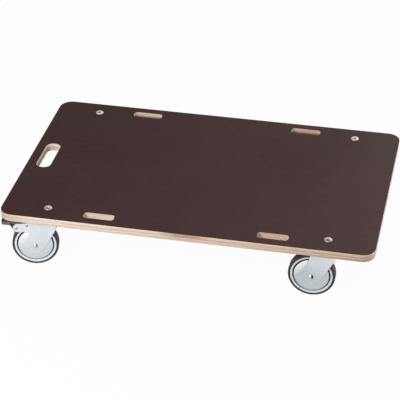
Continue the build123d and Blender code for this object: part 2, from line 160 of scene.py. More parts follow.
def wood_along_x(tree, place, along):
    """Paler wood at the -X end to browner wood at the +X end, in bands."""
    bands = calc(tree, "SUBTRACT", streaky(tree, place, TONE_BANDS), NOISE_MIDDLE)
    tone_along = calc(tree, "ADD", spread(tree, along, board_low[0], board_high[0]), bands)
    return tint(tree, spread(tree, tone_along, PALE_ENDS, BROWN_STARTS), PALE_END_WOOD, BROWN_END_WOOD)


VENEER = 0.00136
PLY_WAVES = (18.0, 18.0, 60.0)
PLY_WANDER = 2.0
EVERY_SECOND = 2.0


def plies(tree, place, height):
    """Number of the ply at a height, counted from below and wandering a little, and the share passed."""
    rise = calc(tree, "DIVIDE", calc(tree, "SUBTRACT", height, board_foot), VENEER)
    waves = calc(tree, "SUBTRACT", streaky(tree, place, PLY_WAVES), NOISE_MIDDLE)
    rise = calc(tree, "ADD", rise, product(tree, waves, PLY_WANDER))
    return calc(tree, "FLOOR", rise), calc(tree, "FRACT", rise)


LONG_FIBRES = (15.4, 924.0, 924.0)
CROSS_FIBRES = (924.0, 15.4, 924.0)
FIBRE_DETAIL = 4.0


def wood_fibres(tree, place, crosswise):
    """Fine fibres along the board, and across it in every second ply."""
    along = streaky(tree, place, LONG_FIBRES, FIBRE_DETAIL)
    across = streaky(tree, place, CROSS_FIBRES, FIBRE_DETAIL)
    return add(tree, "Mix", {0: crosswise, 2: along, 3: across}).outputs[0]


CORE_FIRST = 1.0
CORE_EVERY = 5.0
CORE_PLIES = 2.0
CORE_MIDDLE = 4.5
CORE_LOW_SHARE = 0.5
CORE_INSIDE = 0.35
CORE_BREAKS = (22.0, 22.0, 240.0)
CORE_LEAST = 0.2
CORE_MOST = 0.75
BREAK_LOW = 0.36
BREAK_HIGH = 0.64
SHORT_DETAIL = 2.0


def dark_core(tree, place, layer, outside):
    """Share of the dark core plies: pairs that come and go, fainter low down and in the openings."""
    count = calc(tree, "FLOORED_MODULO", calc(tree, "SUBTRACT", layer, CORE_FIRST), CORE_EVERY)
    core = calc(tree, "LESS_THAN", count, CORE_PLIES)
    breaks = streaky(tree, place, CORE_BREAKS, SHORT_DETAIL)
    return product(
        tree,
        core,
        spread(tree, breaks, BREAK_LOW, BREAK_HIGH, CORE_LEAST, CORE_MOST),
        level(tree, outside, CORE_INSIDE, 1.0),
        level(tree, calc(tree, "GREATER_THAN", layer, CORE_MIDDLE), CORE_LOW_SHARE, 1.0),
    )


FACE_PALE = (1.0, 0.90, 0.79, 1)
FACE_MOST = 0.6
FACE_LEAST = 0.3
FOOT_FULL = 0.0020
FOOT_END = 0.0072
FOOT_REACH = 0.39
FOOT_CURVE = 3.0
BROWN_STREAK = (0.50, 0.345, 0.235, 1)
STREAK_MIDDLE = 0.005
STREAK_CORE = 0.018
STREAK_HALF = 0.06
STREAK_PLY = 5.5
STREAK_FAINT = 0.22
STREAK_FULL = 0.95
SHADED_CORNER_END = -0.399
SHADED_CORNER_REACH = -0.33
SHADED_CORNER_SIDE = 0.10
SHADED_CORNER_FULL = 0.24
SHADED_CORNER_SHARE = 0.6


def edge_tones(tree, axes, layer, face, outside):
    """Shares and colours on the outer edges: pale face veneer, darker foot, streak and painted shade at the
    -X corners.
    """
    along, across, height = axes
    pale = product(tree, face, spread(tree, along, board_low[0], board_high[0], FACE_MOST, FACE_LEAST))
    foot = spread(tree, height, board_foot + FOOT_FULL, board_foot + FOOT_END, 1.0, 0.0)
    towards_end = calc(tree, "POWER", spread(tree, along, 0.0, FOOT_REACH), FOOT_CURVE)
    aside = calc(tree, "ABSOLUTE", calc(tree, "SUBTRACT", along, STREAK_MIDDLE))
    upper = calc(tree, "GREATER_THAN", layer, STREAK_PLY)
    streak = spread(tree, aside, STREAK_CORE, STREAK_HALF, 1.0, 0.0)
    # Painted shade on the edges' corners at the -X end.
    beside = spread(tree, calc(tree, "ABSOLUTE", across), SHADED_CORNER_SIDE, SHADED_CORNER_FULL)
    corner_shade = spread(tree, along, SHADED_CORNER_END, SHADED_CORNER_REACH, SHADED_CORNER_SHARE, 0.0)
    return [
        (pale, FACE_PALE),
        (product(tree, towards_end, foot, outside), GRAIN_AND_SHADE_BROWN),
        (product(tree, streak, level(tree, upper, STREAK_FAINT, STREAK_FULL)), BROWN_STREAK),
        (product(tree, corner_shade, beside), GRAIN_AND_SHADE_BROWN),
    ]


HOLE_PAINTED_LIGHT = (1.0, 0.865, 0.70, 1)
HOLE_SHADE = 0.22
SLOT_SHADE_HEIGHT = 0.0075
SLOT_SHADE_SHARE = 0.8
OPENING_FADE = 0.004
END_PAINTED_LIGHT = (0.95, 0.885, 0.86, 1)
END_START = 0.378
END_FULL = 0.3985
END_SHARE = 0.7


def opening_tones(tree, axes, in_hole, hole_rim, in_back_slot):
    """Shares and colours in the openings: painted light over painted shade in the hand hole, painted shade
    low in the back slots.

    The painted light on the sawn +X end comes last, over all of these.
    """
    foot = board_foot + SLOT_SHADE_HEIGHT
    # Painted light on the hand hole's upper wall, painted shade on its lower wall and low on the back
    # slots' walls.
    lower_wall = calc(tree, "SUBTRACT", in_hole, hole_rim)
    slot_shade = spread(tree, axes[2], foot, foot + OPENING_FADE, SLOT_SHADE_SHARE, 0.0)
    return [
        (hole_rim, HOLE_PAINTED_LIGHT),
        (product(tree, lower_wall, HOLE_SHADE), GRAIN_AND_SHADE_BROWN),
        (product(tree, in_back_slot, slot_shade), GRAIN_AND_SHADE_BROWN),
        # Painted light on the sawn +X end face.
        (spread(tree, axes[0], END_START, END_FULL, 0.0, END_SHARE), END_PAINTED_LIGHT),
    ]


FIGURE = (32.0, 32.0, 600.0)
FIGURE_REACH = 0.22
FIGURE_DARK = 0.24
FIGURE_PALE = 0.2
CROSS_SHARE = 0.15
FIBRE_LOW = 0.4
FIBRE_HIGH = 0.75
FIBRE_SHARE = 0.25
GLUE_LINE = (0.27, 0.18, 0.12, 1)
GLUE_HEIGHT = 0.15
GLUE_SHARE = 0.45


def ply_tones(tree, place, crosswise, passed, fibres):
    """Shares and colours of every ply: short figure both ways, crosswise plies, fibres and glue lines."""
    figure = streaky(tree, place, FIGURE, SHORT_DETAIL)
    glue = calc(tree, "LESS_THAN", passed, GLUE_HEIGHT)
    return [
        (spread(tree, figure, NOISE_MIDDLE, NOISE_MIDDLE + FIGURE_REACH, 0.0, FIGURE_DARK), GRAIN_AND_SHADE_BROWN),
        (spread(tree, figure, NOISE_MIDDLE, NOISE_MIDDLE - FIGURE_REACH, 0.0, FIGURE_PALE), FACE_PALE),
        (product(tree, crosswise, CROSS_SHARE), GRAIN_AND_SHADE_BROWN),
        (spread(tree, fibres, FIBRE_LOW, FIBRE_HIGH, 0.0, FIBRE_SHARE), GRAIN_AND_SHADE_BROWN),
        (product(tree, glue, GLUE_SHARE), GLUE_LINE),
    ]


RIM_RESIN = (0.040, 0.016, 0.015, 1)
RIM_DEPTH = 0.0007
RIM_FADE = 0.0002


def resin_rim(tree, height, outside):
    """Share of the resin that the film leaves over the outer rims, above and below."""
    middle = (board_foot + board_top) / 2
    start = board_top - middle - RIM_DEPTH
    off_middle = calc(tree, "ABSOLUTE", calc(tree, "SUBTRACT", height, middle))
    return product(tree, spread(tree, off_middle, start, start + RIM_FADE), outside)


EDGE_REACH_X = 0.385
EDGE_REACH_Y = 0.236
FACE_DEPTH = 0.0025
FACE_FADE = 0.0024
HOLE_OUTER = -0.385
HOLE_INNER = -0.34
HOLE_SIDE = 0.07
HOLE_PLY = 0.0095
SLOT_SIDE = 0.2
PAINTED_LIGHT_MARKS = 0.35
WOOD_GLOSS = 0.25
WOOD_ROUGHNESS = (0.55, 0.75)
FIBRE_BUMP = 0.35
FIBRE_RELIEF = 0.0002


def plywood():
    """Wood paler to browner along X, then the tones of edges and openings, the marks of the plies and the
    rims' resin.
    """
    material, tree, shader = finish("raw_plywood_edge", Specular_IOR_Level=WOOD_GLOSS)
    place = own_place(tree)
    axes = axes_of(tree, place)
    along, across, height = axes
    outside = calc(tree, "MAXIMUM", beyond(tree, along, EDGE_REACH_X), beyond(tree, across, EDGE_REACH_Y))
    face = spread(tree, height, board_top - FACE_DEPTH - FACE_FADE, board_top - FACE_DEPTH)
    face = product(tree, outside, face)
    in_back_slot = between(tree, across, SLOT_SIDE, EDGE_REACH_Y)
    in_hole = between(tree, along, HOLE_OUTER, HOLE_INNER)
    in_hole = product(tree, in_hole, between(tree, across, -HOLE_SIDE, HOLE_SIDE))
    rim_foot = board_foot + HOLE_PLY
    hole_rim = product(tree, in_hole, spread(tree, height, rim_foot, rim_foot + OPENING_FADE))
    # Painted light: ply marks are fainter on the back slots' walls and the hand hole's upper wall, so these
    # walls show paler.
    marks_under_painted_light = level(tree, calc(tree, "MAXIMUM", in_back_slot, hole_rim), 1.0, PAINTED_LIGHT_MARKS)
    layer, passed = plies(tree, place, height)
    crosswise = calc(tree, "MODULO", layer, EVERY_SECOND)
    fibres = wood_fibres(tree, place, crosswise)
    core = product(tree, dark_core(tree, place, layer, outside), calc(tree, "SUBTRACT", 1.0, face))
    wood = wood_along_x(tree, place, along)
    for share, colour in edge_tones(tree, axes, layer, face, outside):
        wood = tint(tree, share, wood, colour)
    for share, colour in opening_tones(tree, axes, in_hole, hole_rim, in_back_slot):
        wood = tint(tree, share, wood, colour)
    for share, colour in [(core, GRAIN_AND_SHADE_BROWN)] + ply_tones(tree, place, crosswise, passed, fibres):
        wood = tint(tree, product(tree, share, marks_under_painted_light), wood, colour)
    feed(
        tree,
        shader,
        Base_Color=tint(tree, resin_rim(tree, height, outside), wood, RIM_RESIN),
        Roughness=spread(tree, fibres, NOISE_LOW, NOISE_HIGH, *WOOD_ROUGHNESS),
        Normal=bump(tree, fibres, FIBRE_BUMP, FIBRE_RELIEF),
    )
    return material


dress(plywood(), "deck_board")


# Phenolic film: resin-soaked paper hot-pressed on both faces of the board, dark brown and satin.
# It is cut with the board, so it ends a little inside the eased edges.
FILM_BROWN = (0.030, 0.0060, 0.0055, 1)
FILM_LIGHT = (0.084, 0.0405, 0.0385, 1)
FILM_SCUFF = (0.100, 0.070, 0.064, 1)
FILM_MOTTLE = (6.0, 900.0)
FILM_CLOUDS = 0.3
FILM_SPECKS = 0.10
PAPER_FIBRES = (40.0, 70.0, 1.0)
PAPER_LEAST = 0.15
PAPER_MOST = 0.30
SHEEN_START = -0.3
SHEEN_END = 0.4
SHEEN_LEAST = -0.20
SHEEN_MOST = 0.42
RUB_LINES = (12.0, 300.0, 1.0)
RUB_START = 0.66
RUB_FULL = 0.8
RUB_SHARE = 0.10
FILM_GLOSS = 0.12
FILM_ROUGHNESS = (0.40, 0.50)
FILM_BUMP = 0.18
FILM_RELIEF = 0.00008
CLOUD_DETAIL = 4.0
CLOUD_ROUGHNESS = 0.6
GRAIN_DETAIL = 2.0
GRAIN_ROUGHNESS = 0.5
GRAIN_LOW = 0.25
GRAIN_HIGH = 0.75


def mottle_group():
    """Node group: broad clouds and fine grain, each a value from 0 to 1."""
    tree = bpy.data.node_groups.new("mottle", "ShaderNodeTree")
    for name, kind in (("Vector", "Vector"), ("Broad", "Float"), ("Fine", "Float")):
        tree.interface.new_socket(name, in_out="INPUT", socket_type=f"NodeSocket{kind}")
    for name in ("Clouds", "Grain"):
        tree.interface.new_socket(name, in_out="OUTPUT", socket_type="NodeSocketFloat")
    given = tree.nodes.new("NodeGroupInput").outputs
    result = tree.nodes.new("NodeGroupOutput")
    clouds = noise(tree, given["Vector"], given["Broad"], CLOUD_DETAIL, CLOUD_ROUGHNESS)
    fine = noise(tree, given["Vector"], given["Fine"], GRAIN_DETAIL, GRAIN_ROUGHNESS)
    tree.links.new(spread(tree, clouds, NOISE_LOW, NOISE_HIGH), result.inputs["Clouds"])
    tree.links.new(spread(tree, fine, GRAIN_LOW, GRAIN_HIGH), result.inputs["Grain"])
    return tree


mottle = mottle_group()


def mottled(tree, vector, per_metre):
    """Clouds and grain of the shared group, at two counts per metre."""
    broad, fine = per_metre
    return add(tree, "Group", {"Vector": vector, "Broad": broad, "Fine": fine}, node_tree=mottle).outputs


def film():
    """Dark brown, clouded by the paper under the resin and lightened towards +X by painted sheen, with a
    few fine rubs.
    """
    material, tree, shader = finish("phenolic_film", Specular_IOR_Level=FILM_GLOSS)
    place = own_place(tree)
    look = mottled(tree, place, FILM_MOTTLE)
    fibres = streaky(tree, place, PAPER_FIBRES)
    fibres = spread(tree, fibres, NOISE_LOW, NOISE_HIGH, PAPER_LEAST, PAPER_MOST)
    rub = spread(tree, streaky(tree, place, RUB_LINES), RUB_START, RUB_FULL, 0.0, RUB_SHARE)
    # Painted sheen: the film grows lighter towards +X.
    painted_sheen = spread(tree, axes_of(tree, place)[0], SHEEN_START, SHEEN_END, SHEEN_LEAST, SHEEN_MOST)
    paper = calc(tree, "ADD", product(tree, look["Clouds"], FILM_CLOUDS), fibres)
    paper = calc(tree, "ADD", paper, painted_sheen)
    brown = tint(tree, paper, FILM_BROWN, FILM_LIGHT)
    brown = tint(tree, product(tree, look["Grain"], FILM_SPECKS), brown, FILM_SCUFF)
    feed(
        tree,
        shader,
        Base_Color=tint(tree, rub, brown, FILM_SCUFF),
        Roughness=level(tree, look["Clouds"], *FILM_ROUGHNESS),
        Normal=bump(tree, look["Grain"], FILM_BUMP, FILM_RELIEF),
    )
    return material


dress(film(), "top_film", "bottom_film")


# Bolts, nuts, sleeves and washers: bright zinc-plated steel, turned and pressed.
# Each bolt goes down through the board and the swivel head, and its nut holds the caster.
BOLT_ZINC = (0.84, 0.775, 0.755, 1)
BOLT_SHADE = (0.56, 0.51, 0.50, 1)
BOLT_MOTTLE = (160.0, 2500.0)
BOLT_CLOUDS = 0.45
BOLT_ROUGHNESS = (0.46, 0.60)
BOLT_EDGE_ROUND = 0.0004
BOLT_NEAR_SHADE = (0.20, 0.18, 0.17, 1)
NEAR_SHADE_FULL = -0.006
NEAR_SHADE_START = 0.003
NEAR_SHADE_MOST = 0.75
NEAR_SHADE_LEAST = 0.3
TURNING_PITCH = 0.00035
TURNING_BUMP = 0.10
TURNING_RELIEF = 0.00003
SOCKET_SHADE = (0.045, 0.038, 0.036, 1)
SOCKET_RADIUS = 0.0039
SOCKET_ASIDE = 0.0020
SOCKET_LIP = -0.0001
SOCKET_REACH = 0.004
SOCKET_SHARE = 0.85
EDGE_SAMPLES = 6
EDGE_FLAT = 1.0
EDGE_SHARP = 0.85
casters = {
    joint["child"].removesuffix("_caster"): Vector(joint["pos_m"])
    for joint in frame["joints"]
    if joint["name"].endswith("_swivel")
}
bolt_x = max(place.x for place in casters.values())
bolt_y = max(place.y for place in casters.values())
bolt_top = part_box("deck_bolts")[1][2]


def edge_group():
    """Node group: normals rounded over sharp edges, and a mask of where those edges are."""
    tree = bpy.data.node_groups.new("worn_edges", "ShaderNodeTree")
    tree.interface.new_socket("Radius", in_out="INPUT", socket_type="NodeSocketFloat")
    tree.interface.new_socket("Normal", in_out="OUTPUT", socket_type="NodeSocketVector")
    tree.interface.new_socket("Edge", in_out="OUTPUT", socket_type="NodeSocketFloat")
    given = tree.nodes.new("NodeGroupInput").outputs
    result = tree.nodes.new("NodeGroupOutput")
    rounded = add(tree, "Bevel", {"Radius": given["Radius"]}, samples=EDGE_SAMPLES).outputs[0]
    flat = add(tree, "NewGeometry").outputs["Normal"]
    alike = add(tree, "VectorMath", {0: rounded, 1: flat}, operation="DOT_PRODUCT").outputs["Value"]
    tree.links.new(rounded, result.inputs["Normal"])
    tree.links.new(spread(tree, alike, EDGE_FLAT, EDGE_SHARP), result.inputs["Edge"])
    return tree


worn_edges = edge_group()


def edged(tree, radius):
    """Rounded normal and edge mask of the shared group."""
    return add(tree, "Group", {"Radius": radius}, node_tree=worn_edges).outputs


def length_of(tree, first, second):
    """Distance across two axes at right angles."""
    squares = calc(tree, "ADD", product(tree, first, first), product(tree, second, second))
    return calc(tree, "SQRT", squares)


def rings(tree, radius, pitch):
    """Sine over a radius, with one crest in each pitch."""
    return calc(tree, "SINE", product(tree, radius, math.tau / pitch))


def bolt_steel():
    """Zinc plate with turning rings about each bolt, found by folding X and Y at the middle.

    Painted shade lies on the -Y side of each head, stronger on the -Y bolts, and in its socket.
    """
    material, tree, shader = finish("bolt_zinc", Metallic=1.0)
    place = own_place(tree)
    along, across, height = axes_of(tree, place)
    out_x = calc(tree, "SUBTRACT", calc(tree, "ABSOLUTE", along), bolt_x)
    out_y = calc(tree, "SUBTRACT", across, product(tree, calc(tree, "SIGN", across), bolt_y))
    look = mottled(tree, place, BOLT_MOTTLE)
    edge = edged(tree, BOLT_EDGE_ROUND)
    # Painted shade on the -Y side of each head and in its socket, set towards -Y.
    near_shade = spread(tree, out_y, NEAR_SHADE_FULL, NEAR_SHADE_START, 1.0, 0.0)
    near_shade_share = spread(tree, across, -bolt_y, bolt_y, NEAR_SHADE_MOST, NEAR_SHADE_LEAST)
    depth = calc(tree, "SUBTRACT", bolt_top, height)
    off_socket = length_of(tree, out_x, calc(tree, "ADD", out_y, SOCKET_ASIDE))
    in_socket = calc(tree, "LESS_THAN", off_socket, SOCKET_RADIUS)
    socket = product(tree, in_socket, between(tree, depth, SOCKET_LIP, SOCKET_REACH), SOCKET_SHARE)
    zinc = tint(tree, product(tree, look["Clouds"], BOLT_CLOUDS), BOLT_ZINC, BOLT_SHADE)
    zinc = tint(tree, product(tree, near_shade, near_shade_share), zinc, BOLT_NEAR_SHADE)
    turning = rings(tree, length_of(tree, out_x, out_y), TURNING_PITCH)
    feed(
        tree,
        shader,
        Base_Color=tint(tree, socket, zinc, SOCKET_SHADE),
        Roughness=level(tree, look["Grain"], *BOLT_ROUGHNESS),
        Normal=bump(tree, turning, TURNING_BUMP, TURNING_RELIEF, edge["Normal"]),
    )
    return material


dress(bolt_steel(), "deck_bolts", "lock_nuts", "king_sleeves", "retaining_washers")


# Swivel heads: pressed zinc-plated plates with hardened balls between them and a nylon slide ring.
# The plate is clamped to the board, and the fork's crown turns under it on the balls.
ZINC_LIGHT = (0.90, 0.925, 0.935, 1)
ZINC_COOL = (0.78, 0.835, 0.855, 1)
ZINC_LOW = (0.66, 0.725, 0.75, 1)
ZINC_RUB = (0.94, 0.94, 0.94, 1)
ZINC_METAL = 0.75
ZINC_MOTTLE = (38.0, 1500.0)
ZINC_SPECKS = 0.2
ZINC_ROUGHNESS = (0.36, 0.48)
ZINC_BUMP = 0.12
RUB_ON_EDGES = 0.3
SHEET_EDGE_ROUND = 0.0006
HEAD_PAINTED_SHADE = 0.2
LOW_END = 0.02
HIGH_END = 0.08
LOW_SHARE = 0.85
BALL_BRIGHT = (0.62, 0.62, 0.63, 1)
BALL_GREASE = (0.23, 0.19, 0.13, 1)
BALL_MOTTLE = (120.0, 1800.0)
BALL_ROUGHNESS = (0.12, 0.28)
NYLON_WHITE = (0.78, 0.77, 0.72, 1)
NYLON_SHADE = (0.64, 0.62, 0.56, 1)
NYLON_MOTTLE = (90.0, 1600.0)
NYLON_ROUGHNESS = (0.37, 0.53)
FINE_BUMP = 0.1
FINE_RELIEF = 0.00004


def zinc_tone(tree, look, shade_colour, painted_shade_share):
    """Cool clouds and a fine crystal grain over light metal, darker towards the floor, with painted shade
    towards the +X end.
    """
    along, _, height = axes_of(tree, own_place(tree))
    # Painted shade on the casters towards the +X end, in the given share.
    shade_towards_plus_x = product(tree, spread(tree, along, -bolt_x, bolt_x), painted_shade_share)
    zinc = tint(tree, look["Clouds"], ZINC_LIGHT, ZINC_COOL)
    zinc = tint(tree, product(tree, look["Grain"], ZINC_SPECKS), zinc, ZINC_COOL)
    zinc = tint(tree, shade_towards_plus_x, zinc, shade_colour)
    return tint(tree, spread(tree, height, LOW_END, HIGH_END, LOW_SHARE, 0.0), zinc, ZINC_LOW)


def zinc_pressing(tree, shader, zinc, look):
    """Passivated zinc of a given colour, with rubbed edges, on a Principled surface."""
    edge = edged(tree, SHEET_EDGE_ROUND)
    feed(
        tree,
        shader,
        Base_Color=tint(tree, product(tree, edge["Edge"], RUB_ON_EDGES), zinc, ZINC_RUB),
        Roughness=level(tree, look["Clouds"], *ZINC_ROUGHNESS),
        Normal=bump(tree, look["Grain"], ZINC_BUMP, FINE_RELIEF, edge["Normal"]),
    )


def head_zinc():
    """Zinc of the head plates."""
    material, tree, shader = finish("head_zinc", Metallic=ZINC_METAL)
    look = mottled(tree, own_place(tree), ZINC_MOTTLE)
    zinc_pressing(tree, shader, zinc_tone(tree, look, ZINC_LOW, HEAD_PAINTED_SHADE), look)
    return material


def speckled(name, light, dark, per_metre, roughness, **surface):
    """Plain moulded or polished stuff: two tones in clouds, with a fine grain in its gloss."""
    material, tree, shader = finish(name, **surface)
    look = mottled(tree, own_place(tree), per_metre)
    feed(
        tree,
        shader,
        Base_Color=tint(tree, look["Clouds"], light, dark),
        Roughness=level(tree, look["Grain"], *roughness),
        Normal=bump(tree, look["Grain"], FINE_BUMP, FINE_RELIEF),
    )
    return material


ball_steel = speckled("greased_balls", BALL_BRIGHT, BALL_GREASE, BALL_MOTTLE, BALL_ROUGHNESS, Metallic=1.0)
ring_nylon = speckled("nylon_ring", NYLON_WHITE, NYLON_SHADE, NYLON_MOTTLE, NYLON_ROUGHNESS)
dress(head_zinc(), "head_plates")
dress(ball_steel, "swivel_balls")
dress(ring_nylon, "slide_rings")


# Forks: one pressing of zinc-plated sheet, bent round the nose, its legs tapering to the axle.
# The two at the hand-hole end carry ears for the brake's pins.
ZINC_PAINTED_SHADE = (0.52, 0.595, 0.63, 1)
CROWN_PAINTED_SHADE = 0.2
LEG_PAINTED_SHADE = 0.9
LEG_LOW = -0.008
LEG_HIGH = 0.038
NOSE_HIGHLIGHT = (0.96, 0.975, 0.98, 1)
NOSE_START = 0.016
NOSE_FULL = 0.044
NOSE_LOW = 0.018
NOSE_HIGH = 0.045
NOSE_SHARE = 0.85
axles = {
    joint["child"].removesuffix("_wheel"): joint
    for joint in frame["joints"]
    if joint["name"].endswith("_roll")
}


def about_axle(tree, name):
    """Coordinates of one wheel: X and Z in its plane and Y along its axle, from its centre."""
    axis = axles[name]["axis"]
    turn = (0.0, 0.0, math.atan2(-axis[0], axis[1]))
    place = {"Vector": own_place(tree), "Location": axles[name]["pos_m"], "Rotation": turn}
    return add(tree, "Mapping", place, vector_type="TEXTURE").outputs[0]


def round_axle(tree, vector):
    """Distance from the axle's line."""
    forward, _, upward = axes_of(tree, vector)
    return length_of(tree, forward, upward)


def fork_zinc(name):
    """Zinc with painted shade down the legs, as on the guards, and a painted highlight where it is bent
    round the nose.
    """
    material, tree, shader = finish(f"{name}_fork_zinc", Metallic=ZINC_METAL)
    forward, _, upward = axes_of(tree, about_axle(tree, name))
    look = mottled(tree, own_place(tree), ZINC_MOTTLE)
    slant = calc(tree, "ADD", forward, upward)
    # Painted shade down the legs, less on the crown.
    painted_shade_share = spread(tree, slant, LEG_LOW, LEG_HIGH, LEG_PAINTED_SHADE, CROWN_PAINTED_SHADE)
    # Painted highlight where the sheet bends round the nose.
    nose_highlight = spread(tree, forward, NOSE_START, NOSE_FULL, 0.0, NOSE_SHARE)
    nose_highlight = product(tree, nose_highlight, spread(tree, upward, NOSE_LOW, NOSE_HIGH))
    zinc = zinc_tone(tree, look, ZINC_PAINTED_SHADE, painted_shade_share)
    zinc_pressing(tree, shader, tint(tree, nose_highlight, zinc, NOSE_HIGHLIGHT), look)
    return material


for name in casters:
    dress(fork_zinc(name), f"{name}_fork")


# Thread guards: domed discs of thinner zinc-plated sheet, clamped between the hub and the legs.
# They were spun to shape, which leaves faint rings round the axle.
GUARD_MOTTLE = (30.0, 1300.0)
GUARD_GLINT = (0.93, 0.97, 0.99, 1)
GLINT_START = 0.028
GLINT_FULL = 0.046
GLINT_SHARE = 0.9
SHADE_REAR = -0.015
SHADE_FRONT = 0.035
SHADE_MOST = 1.0
SHADE_LEAST = 0.5
RING_SPACING = 0.0011
RING_BUMP = 0.06
RING_RELIEF = 0.00003


def guard_zinc(name):
    """Zinc with rings of uneven strength about the wheel's axle, a painted highlight at the upper rear edge
    and painted shade towards the rear.
    """
    material, tree, shader = finish(f"{name}_guard_zinc", Metallic=ZINC_METAL)
    place = about_axle(tree, name)
    forward, _, upward = axes_of(tree, place)
    look = mottled(tree, place, GUARD_MOTTLE)
    edge = edged(tree, SHEET_EDGE_ROUND)
    spun = product(tree, rings(tree, round_axle(tree, place), RING_SPACING), look["Clouds"])
    rearward = calc(tree, "SUBTRACT", upward, forward)
    # Painted highlight along the upper rear edge, and painted shade towards the rear.
    glint = spread(tree, rearward, GLINT_START, GLINT_FULL, 0.0, GLINT_SHARE)
    painted_shade_share = spread(tree, forward, SHADE_REAR, SHADE_FRONT, SHADE_MOST, SHADE_LEAST)
    zinc = zinc_tone(tree, look, ZINC_PAINTED_SHADE, painted_shade_share)
    feed(
        tree,
        shader,
        Base_Color=tint(tree, glint, zinc, GUARD_GLINT),
        Roughness=level(tree, look["Clouds"], *ZINC_ROUGHNESS),
        Normal=bump(tree, spun, RING_BUMP, RING_RELIEF, edge["Normal"]),
    )
    return material


for name in casters:
    dress(guard_zinc(name), f"{name}_thread_guards")


# Axles and brake pins: steel rivets with domed heads closed over the fork.
# The axles are bright zinc-plated, the pins plain steel.
RIVET_LIGHT = (0.90, 0.90, 0.90, 1)
RIVET_DARK = (0.60, 0.62, 0.64, 1)
RIVET_MOTTLE = (220.0, 2400.0)
RIVET_ROUGHNESS = (0.12, 0.28)
RIVET_DARK_REFLECTION = (0.02, 0.021, 0.023, 1)
REFLECTION_LEAST = 0.5
REFLECTION_START = 0.0002
REFLECTION_FULL = 0.0024
REFLECTION_WANDER = 0.002
PIN_LIGHT = (0.52, 0.53, 0.54, 1)
PIN_DARK = (0.36, 0.37, 0.38, 1)
PIN_ROUGHNESS = (0.27, 0.43)


def rivet_zinc(name):
    """Bright zinc with a painted dark reflection on the forward half of each head, stronger towards the +X
    end.
    """
    material, tree, shader = finish(f"{name}_rivet_zinc", Metallic=1.0)
    place = about_axle(tree, name)
    look = mottled(tree, place, RIVET_MOTTLE)
    # Painted dark reflection on the forward half of each head, stronger towards the +X end.
    wander = product(tree, calc(tree, "SUBTRACT", look["Clouds"], NOISE_MIDDLE), REFLECTION_WANDER)
    forward = calc(tree, "ADD", axes_of(tree, place)[0], wander)
    along = axes_of(tree, own_place(tree))[0]
    reflection_share = spread(tree, along, -bolt_x, bolt_x, REFLECTION_LEAST, 1.0)
    dark_reflection = product(tree, spread(tree, forward, REFLECTION_START, REFLECTION_FULL), reflection_share)
    zinc = tint(tree, look["Clouds"], RIVET_LIGHT, RIVET_DARK)
    feed(
        tree,
        shader,
        Base_Color=tint(tree, dark_reflection, zinc, RIVET_DARK_REFLECTION),
        Roughness=level(tree, look["Grain"], *RIVET_ROUGHNESS),
        Normal=bump(tree, look["Grain"], FINE_BUMP, FINE_RELIEF),
    )
    return material


for name in casters:
    dress(rivet_zinc(name), f"{name}_axle")
brakes = [name for name in casters if f"{name}_brake_pedal" in frame["nodes"]]
pin_steel = speckled("pin_steel", PIN_LIGHT, PIN_DARK, RIVET_MOTTLE, PIN_ROUGHNESS, Metallic=1.0)
dress(pin_steel, *[f"{name}_brake_pins" for name in brakes])


# Rims: light grey moulded plastic with a satin skin; the ring round the guard is what shows.
# Painted shade darkens the recess behind the guard, where the web and the hub are.
RIM_LIGHT = (0.90, 0.905, 0.92, 1)
RIM_SHADE = (0.80, 0.81, 0.835, 1)
RIM_MOTTLE = (40.0, 1400.0)
RIM_ROUGHNESS = (0.34, 0.50)
RIM_RECESS_SHADE = (0.035, 0.036, 0.040, 1)
RECESS_SHADE_FULL = 0.0401
RECESS_SHADE_END = 0.0403


def rim_plastic(name):
    """Grey plastic in two tones, with painted shade on the web inside the recess's wall."""
    material, tree, shader = finish(f"{name}_rim_plastic")
    place = about_axle(tree, name)
    look = mottled(tree, place, RIM_MOTTLE)
    # Painted shade in the recess, inside the recess's wall.
    recess = spread(tree, round_axle(tree, place), RECESS_SHADE_FULL, RECESS_SHADE_END, 1.0, 0.0)
    grey = tint(tree, look["Clouds"], RIM_LIGHT, RIM_SHADE)
    feed(
        tree,
        shader,
        Base_Color=tint(tree, recess, grey, RIM_RECESS_SHADE),
        Roughness=level(tree, look["Grain"], *RIM_ROUGHNESS),
        Normal=bump(tree, look["Grain"], FINE_BUMP, FINE_RELIEF),
    )
    return material


for name in casters:
    dress(rim_plastic(name), f"{name}_rim")


# Tyres: dark grey soft rubber moulded round the rims, non-marking, dull where it has rolled.
# A parting line from the mould runs round the middle of the tread.
RUBBER_DARK = (0.024, 0.026, 0.034, 1)
RUBBER_LIGHT = (0.044, 0.047, 0.058, 1)
RUBBER_MOTTLE = (45.0, 1200.0)
RUBBER_GLOSS = 0.35
RUBBER_ROUGHNESS = (0.52, 0.68)
RUBBER_BUMP = 0.25
RUBBER_RELIEF = 0.0001
RUBBER_DUST = (0.17, 0.17, 0.175, 1)
DUST_SHARE = 0.22
TREAD_START = 0.0485
TREAD_FULL = 0.0498
PARTING_WIDTH = 0.0005
GRAIN_HEIGHT = 0.35


